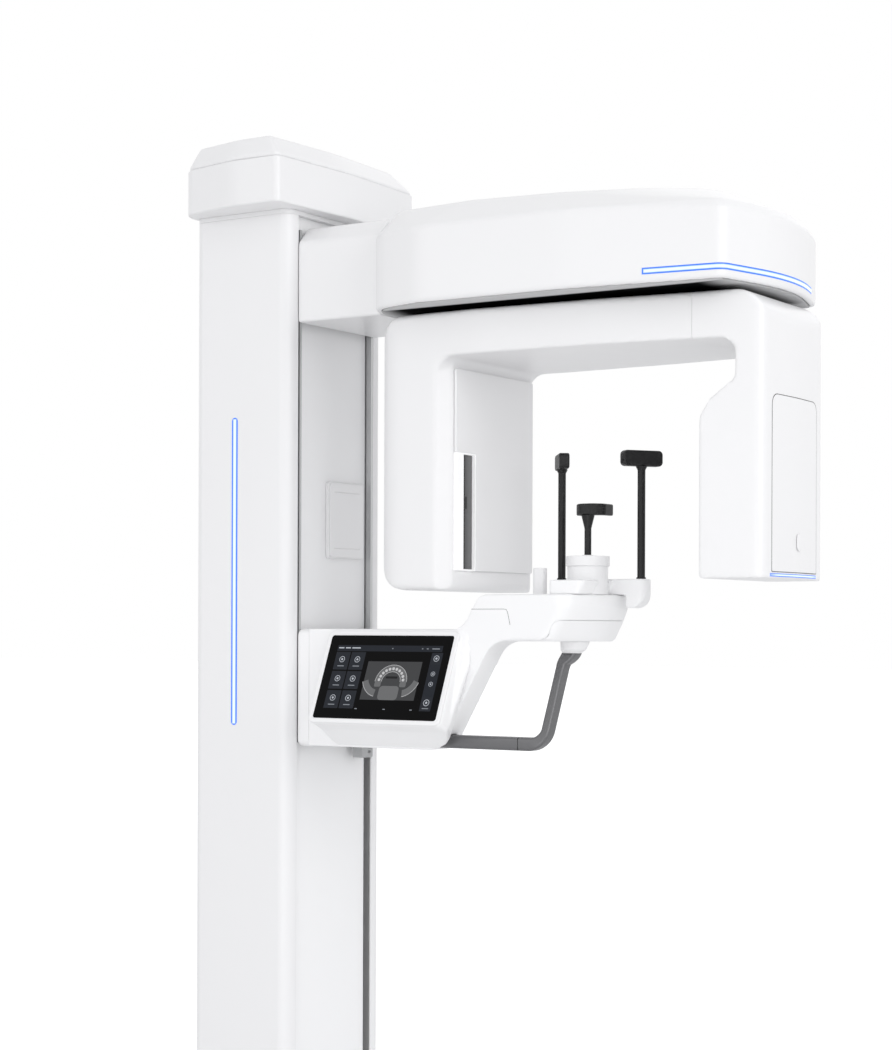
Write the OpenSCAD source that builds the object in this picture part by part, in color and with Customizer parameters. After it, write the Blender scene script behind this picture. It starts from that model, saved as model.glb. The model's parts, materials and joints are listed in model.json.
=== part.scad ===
// Dental cone-beam CT and panoramic X-ray unit on a free-standing column.
// The floor is z = 0, the origin is the column's centre, and +X points along the overhead arm.

/* [Base] */
// Thickness of the steel floor plate
base_t = 20; // [12:1:40]
// Length of the floor plate along the overhead arm
base_l = 1180; // [1000:10:1400]
// Width of the floor plate
base_w = 860; // [700:10:1100]
// Distance from the plate's rear edge to the column's centre
base_rear = 240; // [200:5:300]
// Height of the levelling feet
foot_h = 10; // [6:1:20]
// Radius of the levelling feet
foot_r = 28; // [20:1:40]

/* [Column] */
// Depth of the column along X
col_x = 264; // [240:2:300]
// Width of the column along Y
col_y = 370; // [340:2:420]
// Corner radius of the column
col_r = 26; // [12:1:40]
// Wall of the column profile
col_wall = 6; // [4:0.5:10]
// Height of the column profile's top edge
col_top = 2138; // [2100:2:2300]
// Width of the open channel in the column's front
channel_w = 292; // [286:2:310]
// Width of the fixed panel inside the channel
panel_w = 266; // [240:2:270]
// How far the fixed panel lies behind the column's front
panel_set = 14; // [12:1:20]
// Thickness of the fixed panel
panel_t = 6; // [3:0.5:8]
// Width of the vertical light strip
strip_w = 16; // [10:1:24]
// Lower end of the vertical light strip
strip_z0 = 1006; // [800:2:1100]
// Upper end of the vertical light strip
strip_z1 = 1693; // [1500:1:1800]

/* [Cap] */
// Height of the cap's lower band
band_h = 100; // [60:1:120]
// Height of the cap's dome
dome_h = 52; // [20:1:60]
// Overhang of the band's nose past the column's front
band_nose = 44; // [20:1:60]
// Overhang of the band's cheeks past the column's sides
band_cheek = 77; // [40:1:100]

/* [Lift] */
// Radius of the round guide rails
rail_r = 12; // [10:0.5:14]
// Running clearance of the sliding fits
run_gap = 0.05; // [0.02:0.01:0.1]
// Distance of the guide rails from the middle plane
rail_y = 108; // [100:1:112]
// Outer radius of the lift cylinder
cyl_r = 30; // [24:1:32]
// Height of the lift cylinder's top
cyl_top = 820; // [780:5:824]
// Radius of the lift rod
rod_r = 14; // [10:0.5:16]
// Thickness of the carriage's side plates
web_t = 7; // [5:0.5:8]
// Travel of the carriage below the height shown
lift_down = 650; // [500:10:650]

/* [Overhead arm] */
// Lower face of the bracket
bracket_z0 = 1900; // [1896:1:1910]
// Upper face of the bracket
bracket_z1 = 2114; // [2100:1:2116]
// Width of the bracket and of the console arm's root
arm_w = 300; // [290:2:310]
// Lower face of the overhead housing
housing_z0 = 1897; // [1895:1:1905]
// Height of the housing's side crease
housing_crease = 2055; // [2045:1:2060]
// Upper face of the housing
housing_z1 = 2112; // [2100:1:2130]
// Wall of the housing
housing_wall = 5; // [3:0.5:8]
// Distance from the column's centre to the gantry's turning axis
axis_x = 805; // [795:1:815]

/* [Gantry] */
// Upper face of the gantry
gantry_z1 = 1889; // [1885:1:1889]
// Lower face of the beam between the two arms
beam_z0 = 1793; // [1780:1:1800]
// Lower end of the detector arm
detector_z0 = 1303; // [1302:1:1310]
// Lower end of the generator arm
generator_z0 = 1322; // [1315:1:1330]
// Radius of the hub's shaft
hub_r = 60; // [50:1:70]
// Radius of the pulley on the hub
hub_pulley_r = 150; // [120:1:160]
// Radius of the motor's pulley
motor_pulley_r = 30; // [25:1:40]

/* [Console arm] */
// Lower face of the console arm
console_z0 = 964; // [955:1:975]
// Upper face of the console arm behind the screen
console_z1 = 1222; // [1210:1:1230]
// Upper face of the platform that carries the head supports
platform_z1 = 1295; // [1285:1:1296]
// Lower face of the platform
platform_z0 = 1197; // [1190:1:1205]
// Thickness of the arm behind the screen
slab_t = 70; // [55:1:80]
// Width of the touch screen's glass
glass_w = 314; // [290:1:320]
// Height of the touch screen's glass along its slope
glass_h = 192; // [180:1:200]
// Tilt of the touch screen from upright
glass_tilt = 23; // [20:0.2:26]
// Width of the white lip round the glass
lip_w = 11; // [6:1:14]

/* [Head supports] */
// Distance from the middle to each head support rod
rod_gap = 95; // [85:1:100]
// Travel of each head support towards the middle
clamp_travel = 24; // [10:1:26]
// Radius of the head support rods
support_r = 8.2; // [6:0.1:9]
// Upper edge of the head support pads
pad_top = 1596; // [1580:1:1620]
// Height of the head support pads
pad_h = 33; // [26:1:40]
// Length of the head support pads
pad_l = 90; // [70:1:94]
// Turn of the head support pads away from the line of sight
pad_turn = 36; // [20:1:45]
// Radius of the chin rest turret
turret_r = 42.5; // [36:0.5:46]
// Radius of the chin rest stem
stem_r = 7.2; // [6:0.2:9]
// Upper face of the chin cup
chin_z = 1485; // [1470:1:1500]

/* [Hidden] */

white = "#f1f2f4";
shade = "#d9dbde";
dark = "#26282b";
steel = "#9a9da1";
black = "#141416";
blue = "#3f8ff0";
$fn = 48;

floor_z = foot_h + base_t;
front_x = col_x / 2;
gap = 1.5;
slice_t = 0.5;
over = 1;
wide = 700;
arm_x0 = front_x + gap;
cap_z0 = col_top + 10;
band_z1 = cap_z0 + band_h;
slot_w = (channel_w - panel_w) / 2;
web_y = panel_w / 2 + (slot_w - web_t) / 2;
rail_x = 30;
cyl_x = -40;

// Unit vector along v
function unit(v) = v / norm(v);
// Points of the arc of radius r that rounds the corner p between its neighbours a and b
function corner(a, p, b, r, n) =
  let (u = unit(a - p), v = unit(b - p), h = acos(u * v) / 2,
       c = p + unit(u + v) * r / sin(h), s = p + u * r / tan(h) - c, e = p + v * r / tan(h) - c,
       a0 = atan2(s.y, s.x), d0 = atan2(e.y, e.x) - a0,
       d = d0 > 180 ? d0 - 360 : d0 < -180 ? d0 + 360 : d0)
  [for (i = [0:n]) c + r * [cos(a0 + d * i / n), sin(a0 + d * i / n)]];
// Outline through corners given as [x, y, radius]
function rounded(p, n = 9) = [for (i = [0:len(p) - 1])
  let (q = p[i], a = p[(i + len(p) - 1) % len(p)], b = p[(i + 1) % len(p)])
  each q.z > 0 ? corner([a.x, a.y], [q.x, q.y], [b.x, b.y], q.z, n) : [[q.x, q.y]]];
// Half an outline on the near side, completed by its mirror image on the far side
function both_sides(p) =
  concat(p, [for (i = [len(p) - 1:-1:0]) if (p[i].y != 0) [p[i].x, -p[i].y, p[i].z]]);

// Flat outline with rounded corners, centred on the origin
module plate_2d(x, y, r) {
  polygon(rounded([[-x/2, -y/2, r], [x/2, -y/2, r], [x/2, y/2, r], [-x/2, y/2, r]]));
}
// Side profile in X and Z, as thick as y1 - y0
module side_profile(points, y0, y1) {
  translate([0, y1, 0]) rotate([90, 0, 0]) linear_extrude(y1 - y0) polygon(points);
}
// Side view given as the child, reaching as far as y on both sides
module side_profile_2d(y) {
  translate([0, y, 0]) rotate([90, 0, 0]) linear_extrude(2*y) children();
}
// Cross section in Y and Z, running from x0 to x1
module cross_profile(points, x0, x1) {
  translate([x0, 0, 0]) rotate([90, 0, 90]) linear_extrude(x1 - x0) polygon(points);
}
// Slices that round the edge at height z over the radius r, upwards for dir = 1; the outline is the child
module edge_slices(z, r, dir) {
  for (a = [0:22.5:90]) translate([0, 0, z - dir * r * (1 - sin(a)) - (dir > 0 ? slice_t : 0)])
    linear_extrude(slice_t) offset(delta = -r * (1 - cos(a))) children();
}
module ring(r_out, r_in, h) {
  difference() {
    cylinder(r = r_out, h = h);
    translate([0, 0, -1]) cylinder(r = r_in, h = h + 2);
  }
}

// Floor plate and feet
base_cx = base_l / 2 - base_rear;
foot_in = 60;
stud_r = 6.3;
module base_plate() {
  color(white) translate([base_cx, 0, foot_h]) difference() {
    linear_extrude(base_t) plate_2d(base_l, base_w, 60);
    for (x = [-1, 1], y = [-1, 1])
      translate([x * (base_l/2 - foot_in), y * (base_w/2 - foot_in), -over])
        cylinder(r = stud_r + 0.2, h = base_t + 2*over);
  }
}
module levelling_feet() {
  color(dark) {
    for (x = [-1, 1], y = [-1, 1])
      translate([base_cx + x * (base_l/2 - foot_in), y * (base_w/2 - foot_in), 0]) {
        cylinder(r = foot_r, h = foot_h);
        cylinder(r = stud_r, h = foot_h + base_t - 2);
      }
    // plain pad under the column
    cylinder(r = foot_r, h = foot_h);
  }
}

// Column
module column_2d() {
  difference() {
    plate_2d(col_x, col_y, col_r);
    plate_2d(col_x - 2*col_wall, col_y - 2*col_wall, col_r - col_wall);
    translate([0, -channel_w/2]) square([col_x, channel_w]);
  }
}
rear_open = 240;
rear_edge = 60;
strip_x = -15;
strip_d = 4;
module strip_shape(extra, d) {
  translate([strip_x, -col_y/2 + d, 0]) rotate([90, 0, 0]) linear_extrude(d + over)
    translate([0, (strip_z0 + strip_z1)/2])
      plate_2d(strip_w + extra, strip_z1 - strip_z0 + extra, (strip_w + extra)/2 - 0.01);
}
module column_shell() {
  color(white) difference() {
    translate([0, 0, floor_z]) linear_extrude(col_top - floor_z) column_2d();
    strip_shape(0, strip_d);
    translate([-col_x, -rear_open/2, floor_z + rear_edge])
      cube([col_x, rear_open, col_top - floor_z - 2*rear_edge]);
  }
}
module column_light() {
  color(blue) intersection() {
    strip_shape(0, strip_d);
    translate([-col_x/2, -col_y/2 - 0.5, 0]) cube([col_x, 20, col_top]);
  }
}
rear_t = 2;
rear_lap = 25;
slit_l = 120;
module rear_cover() {
  color(white) translate([-front_x - rear_t, 0, floor_z + rear_edge - rear_lap]) difference() {
    translate([0, -rear_open/2 - rear_lap, 0])
      cube([rear_t, rear_open + 2*rear_lap, col_top - floor_z - 2*(rear_edge - rear_lap)]);
    for (i = [0:9]) translate([-over, -slit_l/2, 60 + i * 14]) cube([rear_t + 2*over, slit_l, 5]);
  }
}
module column_top_plate() {
  color(white) translate([0, 0, col_top]) linear_extrude(10) plate_2d(col_x, col_y, col_r);
}
panel_x = front_x - panel_set;
module rail_panel() {
  color(white) translate([panel_x - panel_t, -panel_w/2, floor_z]) cube([panel_t, panel_w, col_top - floor_z]);
}
module guide_rails() {
  color(steel) for (y = [-1, 1]) translate([rail_x, y * rail_y, floor_z])
    cylinder(r = rail_r, h = col_top - floor_z);
}
module lift_cylinder() {
  color(dark) translate([cyl_x, 0, 0]) difference() {
    translate([0, 0, floor_z]) cylinder(r = cyl_r, h = cyl_top - floor_z);
    translate([0, 0, floor_z + 10]) cylinder(r = rod_r + 6, h = cyl_top - 20 - floor_z - 10);
    translate([0, 0, floor_z + 20]) cylinder(r = rod_r + run_gap, h = cyl_top);
  }
}

// Cap on the column
cap_nose = front_x + band_nose;
cap_cheek = col_y/2 + band_cheek;
cap_far = cap_cheek + 16;
cap_points = [[-front_x - 6, -cap_cheek + 36, 55], [30, -cap_cheek, 250], [front_x + 26, -cap_cheek + 2, 14],
  [cap_nose, 0, 600], [front_x + 30, cap_far - 2, 24], [30, cap_far, 250], [-front_x - 6, cap_far - 50, 55]];
module cap_2d() { polygon(rounded(cap_points)); }
cap_wall = 4;
cap_edge = 5;
module cap_band() {
  color(white) translate([0, 0, cap_z0]) difference() {
    union() {
      hull() edge_slices(0, cap_edge, -1) cap_2d();
      translate([0, 0, cap_edge]) linear_extrude(band_h - cap_edge) cap_2d();
    }
    translate([0, 0, cap_wall]) linear_extrude(band_h) offset(delta = -cap_wall - 2) cap_2d();
  }
}
dome_lean = 34;
dome_edge = 12;
module cap_dome() {
  color(white) hull() {
    translate([0, 0, band_z1]) linear_extrude(6) offset(delta = -2) cap_2d();
    translate([0, -dome_lean/2, band_z1]) edge_slices(dome_h, dome_edge, 1) offset(delta = -dome_lean) cap_2d();
  }
}

// Small wall box on the rail panel
holder_y0 = -23;
holder_y1 = 114;
holder_z0 = 1382;
holder_z1 = 1556;
holder_r = 8;
holder_d = 9;
module holder_block(inset, x0, x1) {
  y0 = holder_y0 + inset;
  y1 = holder_y1 - inset;
  z0 = holder_z0 + inset;
  z1 = holder_z1 - inset;
  r = holder_r;
  cross_profile(rounded([[y0, z0, r], [y1, z0, r], [y1, z1, r], [y0, z1, r]]), x0, x1);
}
module remote_holder() {
  color(white) holder_block(0, panel_x, panel_x + holder_d);
}
module holder_cover() {
  color(white) difference() {
    holder_block(3, panel_x + holder_d, panel_x + holder_d + 3);
    for (z = [holder_z0 + 22, holder_z1 - 24])
      translate([panel_x + holder_d + 1.5, holder_y0 + 18, z]) cube([3, holder_y1 - holder_y0 - 36, 1.6]);
  }
}

// Lift carriage inside the column
bar_x0 = 8;
bar_x1 = 54;
bars = [[976, 1036], [1480, 1540], [2034, 2094]];
rod_top = bars[1][0];
module carriage_frame() {
  color(steel) difference() {
    union() {
      for (s = [-1, 1]) translate([bar_x0, s > 0 ? web_y : -web_y - web_t, console_z0 + 6])
        cube([arm_x0 - bar_x0, web_t, bracket_z1 - 8 - console_z0 - 6]);
      for (b = bars) translate([bar_x0, -web_y - 1, b[0]]) cube([bar_x1 - bar_x0, 2*web_y + 2, b[1] - b[0]]);
      translate([cyl_x - 20, -40, bars[1][0]]) cube([bar_x0 - cyl_x + 21, 80, 30]);
    }
    for (y = [-1, 1]) translate([rail_x, y * rail_y, 0]) cylinder(r = rail_r + run_gap, h = col_top + 100);
    for (s = [-1, 1]) translate([bar_x1 + 10, s > 0 ? web_y - 1 : -web_y - web_t - 1, console_z1 + 40])
      cube([panel_x - panel_t - bar_x1 - 20, web_t + 2, bracket_z0 - console_z1 - 80]);
  }
}
rod_len = rod_top - lift_down - floor_z - 20;
module lift_rod() {
  color(steel) translate([cyl_x, 0, rod_top - rod_len]) cylinder(r = rod_r, h = rod_len);
}

// Bracket between column and housing
bracket_x1 = 352;
bracket_chamfer = 38;
collar_in = 6;
collar_t = 6;
// Section of the bracket, g smaller on every side
module bracket_bar(g, x0, x1) {
  w = arm_w / 2 - g;
  c = bracket_chamfer;
  top = bracket_z1 - g;
  cross_profile(rounded([[-w, bracket_z0 + g, 6], [w, bracket_z0 + g, 6], [w, top - c, 20],
    [w - c, top, 26], [c - w, top, 26], [-w, top - c, 20]]), x0, x1);
}
module upper_bracket() {
  color(white) bracket_bar(0, arm_x0, bracket_x1);
}
module bracket_collar() {
  color(white) bracket_bar(collar_in, bracket_x1, bracket_x1 + collar_t);
}

// Overhead housing
housing_x0 = bracket_x1 + collar_t;
housing_x1 = 1262;
housing_half = 270;
corner_x = 1201;
corner_y = 230;
corner_drop = 19;
housing_lip = 8;
// Plan of the housing; its outer corners lie in by d
module housing_2d(d = 0) {
  polygon(rounded(both_sides([[housing_x0, -housing_half + 48, 110], [520, -housing_half, 160],
    [880, -housing_half + 2, 600], [corner_x - d, -corner_y + d, 26], [housing_x1 - d/3, 0, 500]])));
}
// Plan of the flat top between the sloping sides
module roof_2d() {
  polygon(rounded(both_sides([[400, -184, 60], [617, -209, 200], [816, -182, 300], [972, -133, 200],
    [1075, -70, 80], [1115, 0, 60]])));
}
module housing_shell() {
  color(white) difference() {
    union() {
      hull() edge_slices(housing_z0, housing_lip, -1) housing_2d();
      translate([0, 0, housing_z0 + housing_lip])
        linear_extrude(housing_crease - corner_drop - housing_z0 - housing_lip) housing_2d();
      hull() {
        translate([0, 0, housing_crease - corner_drop - slice_t]) linear_extrude(slice_t) housing_2d();
        translate([0, 0, housing_crease - slice_t]) linear_extrude(slice_t) housing_2d(14);
        translate([0, 0, housing_z1 - 5]) linear_extrude(slice_t) offset(delta = 5) roof_2d();
        translate([0, 0, housing_z1 - slice_t]) linear_extrude(slice_t) offset(delta = -5) roof_2d();
      }
    }
    translate([0, 0, housing_z0 - over]) linear_extrude(housing_crease - corner_drop - housing_z0 - 10)
      offset(delta = -housing_lip - housing_wall) housing_2d();
    light_band();
  }
}
light_z0 = 1914;
light_h = 13;
light_x0 = 1030;
light_t = 4;
// Band that the light strip fills, let into the housing's near face and nose
module light_band() {
  translate([0, 0, light_z0]) linear_extrude(light_h) difference() {
    intersection() {
      housing_2d();
      polygon([[light_x0, -400], [1400, -400], [1400, 150], [1150, 150], [1150, -100], [light_x0 + 14, -100]]);
    }
    offset(delta = -light_t) housing_2d();
  }
}
module housing_light() {
  color(blue) light_band();
}
module housing_floor() {
  color(black) difference() {
    translate([0, 0, housing_z0])
      linear_extrude(6) offset(delta = -housing_lip - housing_wall - 0.3) housing_2d();
    translate([axis_x, 0, housing_z0 - over]) cylinder(r = bearing_r, h = 8);
  }
}

// Turning drive inside the housing
bearing_r = 96;
bearing_h = 34;
pulley_z = housing_z0 + 46;
pulley_h = 18;
motor_x = axis_x + 255;
motor_w = 90;
motor_shaft_r = 8;
flange_t = 5;
hub_hole = 38;
module slewing_bearing() {
  color(steel) translate([axis_x, 0, housing_z0]) {
    ring(bearing_r, hub_r + run_gap, bearing_h);
    translate([0, 0, 6]) ring(bearing_r + 16, bearing_r - 4, 8);
  }
}
module drive_motor() {
  color(dark) translate([motor_x, 0, housing_z0 + 6]) {
    translate([-motor_w/2, -motor_w/2, 0]) cube([motor_w, motor_w, 34]);
    cylinder(r = motor_shaft_r, h = pulley_z + pulley_h + 4 - housing_z0 - 6);
  }
}
module motor_pulley() {
  color(steel) translate([motor_x, 0, pulley_z]) ring(motor_pulley_r, motor_shaft_r + run_gap, pulley_h);
}
module belt_loop(grow) {
  hull() {
    translate([axis_x, 0]) circle(r = hub_pulley_r + grow, $fn = 96);
    translate([motor_x, 0]) circle(r = motor_pulley_r + grow, $fn = 48);
  }
}
module drive_belt() {
  color(black) translate([0, 0, pulley_z + 2]) linear_extrude(pulley_h - 4) difference() {
    belt_loop(3.4);
    belt_loop(0.4);
  }
}
module gantry_hub() {
  color(steel) translate([axis_x, 0, gantry_z1]) difference() {
    union() {
      cylinder(r = 105, h = flange_t);
      cylinder(r = hub_r, h = pulley_z + pulley_h + 10 - gantry_z1);
    }
    translate([0, 0, -over]) cylinder(r = hub_hole, h = 300);
  }
}
module hub_pulley() {
  color(steel) translate([axis_x, 0, pulley_z]) difference() {
    cylinder(r = hub_pulley_r, h = pulley_h);
    translate([0, 0, -1]) cylinder(r = hub_r, h = pulley_h + 2);
    for (a = [0:60:300]) rotate(a) translate([105, 0, -1]) cylinder(r = 24, h = pulley_h + 2);
  }
}

// Turning gantry, an upside-down U
gantry_x0 = 360;
gantry_x1 = 1257;
gantry_edge = 12;
split_x = 1104;
detector_face = 549;
generator_face = 1117;
gantry_points = both_sides([[gantry_x0, -190, 70], [620, -201, 400], [900, -188, 500],
  [gantry_x1 - 7, -150, 20], [gantry_x1, 0, 900]]);
module gantry_2d() { polygon(rounded(gantry_points)); }
pocket_x = 1190;
// Side view of the gantry: beam, detector arm on the left, generator arm on the right
module gantry_profile() {
  polygon(rounded([[gantry_x0, detector_z0, 46], [gantry_x0, gantry_z1, 60], [gantry_x1 + 1, gantry_z1, 42],
    [gantry_x1 + 1, generator_z0, 8], [generator_face, generator_z0, 8], [generator_face, 1640, 30],
    [1141, 1678, 24], [pocket_x, 1714, 22], [pocket_x, beam_z0, 30], [detector_face, beam_z0, 16],
    [detector_face, detector_z0, 16]]));
}
module gantry_block() {
  intersection() {
    side_profile_2d(wide/2) gantry_profile();
    hull() {
      edge_slices(detector_z0, gantry_edge, -1) gantry_2d();
      edge_slices(gantry_z1, gantry_edge, 1) gantry_2d();
    }
  }
}
panel_half = 160;
panel_z0 = 1346;
panel_z1 = 1771;
sensor_y0 = -156;
sensor_y1 = -82;
sensor_z0 = 1346;
sensor_z1 = 1595;
bay_x0 = 385;
bay_half = 120;
bay_z0 = 1350;
bay_h = 400;
module detector_cover() {
  color(white) difference() {
    intersection() {
      gantry_block();
      translate([split_x - wide - 100, -wide/2, 1200]) cube([wide + 100, wide, 800]);
    }
    // chamfers that lead from the outer faces to the inner panel
    for (s = [-1, 1]) scale([1, s, 1]) translate([0, 0, 1200]) linear_extrude(beam_z0 - 1200)
      polygon([[detector_face - 26, -240], [detector_face - 26, -199], [detector_face, -panel_half - 3],
        [detector_face + 50, -panel_half - 3], [detector_face + 50, -240]]);
    translate([bay_x0, -bay_half, bay_z0]) cube([detector_face - bay_x0 + over, 2*bay_half, bay_h]);
    translate([detector_face - 8, sensor_y0 - 1, sensor_z0 - 1])
      cube([9, sensor_y1 - sensor_y0 + 2, sensor_z1 - sensor_z0 + 2]);
  }
}
module generator_cover() {
  color(white) difference() {
    intersection() {
      gantry_block();
      translate([split_x, -wide/2, 1200]) cube([wide, wide, 800]);
    }
    translate([generator_face + 6, -95, end_z0 + 10]) cube([200, 190, end_z1 - end_z0 - 24]);
    end_skin(0, end_t);
    light_skin();
  }
}
panel_out = 6;
module detector_panel() {
  color(white) difference() {
    cross_profile(rounded([[-panel_half, panel_z0, 6], [panel_half, panel_z0, 6],
      [panel_half, panel_z1, 6], [-panel_half, panel_z1, 6]]), detector_face, detector_face + panel_out);
    translate([detector_face - over, sensor_y0 - 10, sensor_z0 - 10])
      cube([20, sensor_y1 - sensor_y0 + 10, sensor_z1 - sensor_z0 + 10]);
  }
}
module sensor_frame() {
  color(white) difference() {
    translate([detector_face - 8, sensor_y0 - 1, sensor_z0])
      cube([8 + panel_out, sensor_y1 - sensor_y0 + 1, sensor_z1 - sensor_z0]);
    translate([detector_face - 5, sensor_y0 + 26, sensor_z0 + 3])
      cube([20, sensor_y1 - sensor_y0 - 28, sensor_z1 - sensor_z0 - 6]);
  }
}
module sensor_glass() {
  color(dark) translate([detector_face - 5, sensor_y0 + 26, sensor_z0 + 3])
    cube([3, sensor_y1 - sensor_y0 - 28, sensor_z1 - sensor_z0 - 6]);
}
knob_z = 1477;
module slider_knob() {
  color(black) translate([detector_face - 1.7, sensor_y0 + 28, knob_z]) cube([5.5, 14, 26]);
}
module sensor_module() {
  color(dark) translate([420, -90, 1350]) cube([110, 180, 300]);
}
module tube_head() {
  color(steel) translate([generator_face + 26, 0, 1520]) {
    rotate([0, 90, 0]) cylinder(r = 84, h = 80);
    translate([0, -80, 0]) cube([80, 160, 140]);
  }
}
module collimator() {
  color(dark) translate([generator_face + 6, -45, 1475]) difference() {
    cube([20, 90, 90]);
    translate([-1, 30, 20]) cube([22, 30, 50]);
  }
}
end_z0 = 1336;
end_z1 = 1685;
end_half = 110;
end_t = 5;
// Skin of the end face, g smaller all round than its recess and t thick
module end_skin(g, t) {
  w = end_half - g;
  intersection() {
    translate([0, 0, end_z0 - 10]) linear_extrude(end_z1 - end_z0 + 20) difference() {
      gantry_2d();
      offset(delta = -t) gantry_2d();
    }
    cross_profile(rounded([[-w, end_z0 + g, 3], [w, end_z0 + g, 3], [w, end_z1 - g, 22], [-w, end_z1 - g, 22]]),
      gantry_x1 - 40, gantry_x1 + 10);
  }
}
module end_panel() {
  color(white) end_skin(0.8, end_t);
}
module panel_cap() {
  color(white) translate([gantry_x1, 10, end_z0 + 61]) rotate([90, 0, 90])
    linear_extrude(1.6) plate_2d(23, 34, 10);
}
module light_skin() {
  translate([0, 0, generator_z0 + 5]) linear_extrude(6) difference() {
    intersection() {
      gantry_2d();
      translate([gantry_x1 - 50, -116]) square([60, 224]);
    }
    offset(delta = -3) gantry_2d();
  }
}
module generator_light() {
  color(blue) light_skin();
}

// Console arm
mount_x1 = 166;
arm_y0 = -arm_w / 2;
slab_y = arm_y0 + slab_t;
platform_y1 = 70;
leg_x = 506;
knee_x = 638;
slab_x1 = 678;
step = 0.4;
module arm_mount() {
  w = arm_w / 2;
  z0 = console_z0 - 2;
  color(white) cross_profile(rounded([[-w, z0, 16], [w, z0, 16], [w, console_z1, 16], [-w, console_z1, 16]]),
    arm_x0, mount_x1);
}
// Side view of the arm: body behind the screen, sloping leg and the start of the platform
arm_points = [[mount_x1, console_z0, 0], [leg_x, console_z0, 46], [knee_x, platform_z0 + step, 60],
  [slab_x1, platform_z0 + step, 0], [slab_x1, platform_z1 - step, 0], [606, platform_z1 - step, 30],
  [562, console_z1, 40], [mount_x1, console_z1, 0]];
// Plan of the slab behind the screen with its wide root
module arm_2d() {
  polygon(rounded([[mount_x1, arm_y0, 0], [slab_x1 + 20, arm_y0, 0], [slab_x1 + 20, slab_y, 0],
    [280, slab_y, 40], [240, arm_w/2, 50], [mount_x1, arm_w/2, 0]]));
}
// Plan of the platform; its outer end lies in by d
module platform_2d(d) {
  y0 = arm_y0 + step;
  polygon(rounded([[614, y0, 0], [812 - 1.3*d, y0, 40], [860 - d, -20, 150], [852 - d, platform_y1, 30],
    [700, platform_y1, 60], [614, slab_y - 5, 10]]));
}
module platform_slice(z, d, in = 0) {
  translate([0, 0, z]) linear_extrude(slice_t) offset(delta = -in) platform_2d(d);
}
module platform() {
  hull() {
    platform_slice(platform_z1 - slice_t, 0, 3);
    platform_slice(platform_z1 - 3, 0);
    platform_slice(platform_z1 - 27, 0);
    platform_slice(cover_split, 11);
    platform_slice(platform_z0 + 5, 31);
    platform_slice(platform_z0, 34, 4);
  }
}
cover_split = 1240;
// Side view of the room that the lower cover takes in the platform's end
cover_points = [[900, platform_z0 - 5, 0], [748, platform_z0 - 5, 0], [748, platform_z0 + 1, 0],
  [768, platform_z0 + 6, 24], [784, cover_split, 24], [900, cover_split, 0]];
module arm_body() {
  color(white) difference() {
    union() {
      intersection() {
        side_profile(rounded(arm_points), arm_y0 - 10, arm_w/2 + 10);
        translate([0, 0, console_z0 - 5]) linear_extrude(400) arm_2d();
      }
      platform();
    }
    side_profile(rounded(cover_points), arm_y0 - 20, platform_y1 + 20);
    // pocket that takes the handle's end
    translate([handle_x0, handle_y - handle_w/2 - 0.3, handle_z - handle_h/2 - 0.3])
      cube([80, handle_w + 0.6, handle_h + 0.6]);
  }
}
module arm_lower_cover() {
  color(white) intersection() {
    side_profile(rounded(cover_points), arm_y0 - 20, platform_y1 + 20);
    platform();
  }
}

// Screen on the near side of the console arm, tilted back
glass_x0 = 241;
glass_y = arm_y0 - 14;
glass_z = 1207.6;
glass_d = 3.5;
bezel_d = 5;
skirt_d = 40;
skirt_r = 14;
module on_screen() {
  translate([glass_x0, glass_y, glass_z]) rotate([-glass_tilt, 0, 0]) children();
}
// Plate in the plane of the screen: lips e outside the glass, from depth d0 to d1 behind its face
module screen_plate(e, r, d0, d1) {
  on_screen() translate([glass_w/2, d1, -glass_h/2]) rotate([90, 0, 0]) linear_extrude(d1 - d0)
    plate_2d(glass_w + 2*e, glass_h + 2*e, r);
}
fair_x0 = glass_x0 - 6;
fair_x1 = glass_x0 + glass_w + 34;
fair_z0 = console_z0 + 4;
fair_z1 = console_z1 - 1;
// Outline of the fairing on the arm's near face
module fair_plate() {
  translate([0, arm_y0 + 2, 0]) rotate([90, 0, 0]) linear_extrude(2 + slice_t)
    polygon(rounded([[fair_x0, fair_z0, 12], [leg_x + 22, fair_z0, 40], [fair_x1, fair_z1 - 60, 60],
      [fair_x1 - 8, fair_z1, 16], [fair_x0, fair_z1, 6]]));
}
module screen_housing() {
  color(white) difference() {
    union() {
      screen_plate(lip_w, skirt_r, bezel_d, skirt_d);
      hull() {
        screen_plate(lip_w - step, skirt_r, skirt_d - 2, skirt_d);
        fair_plate();
      }
      // top face that leads from the lip back to the arm
      hull() {
        intersection() {
          screen_plate(lip_w - step, skirt_r, bezel_d + step, bezel_d + 2);
          translate([0, arm_y0 - 100, fair_z1 - 40]) cube([wide, 200, 100]);
        }
        translate([glass_x0, arm_y0 - 2, fair_z1 - 4]) cube([glass_w, 4, 3]);
        translate([glass_x0 - 4, arm_y0 - 1, fair_z1 - 40]) cube([glass_w + 8, 3, 34]);
      }
    }
    translate([0, arm_y0, fair_z0 - 50]) cube([wide, 200, 400]);
  }
}
module screen_bezel() {
  color(white) difference() {
    screen_plate(lip_w, skirt_r, -1.5, bezel_d);
    screen_plate(0, 6, -10, glass_d);
  }
}
module touch_screen() {
  color(black) screen_plate(0, 6, 0, glass_d);
}
socket_y1 = arm_w/2 - 40;
socket_y0 = socket_y1 - 44;
socket_z0 = 926;
module socket_box() {
  color(shade) difference() {
    cross_profile(rounded([[socket_y0, socket_z0, 4], [socket_y1, socket_z0, 4], [socket_y1, console_z0 - 2, 0],
      [socket_y0, console_z0 - 2, 0]]), arm_x0, arm_x0 + 26);
    for (z = [10, 21]) translate([arm_x0 + 20, socket_y1 - 18, socket_z0 + z]) cube([10, 10, 6]);
  }
}

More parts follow.
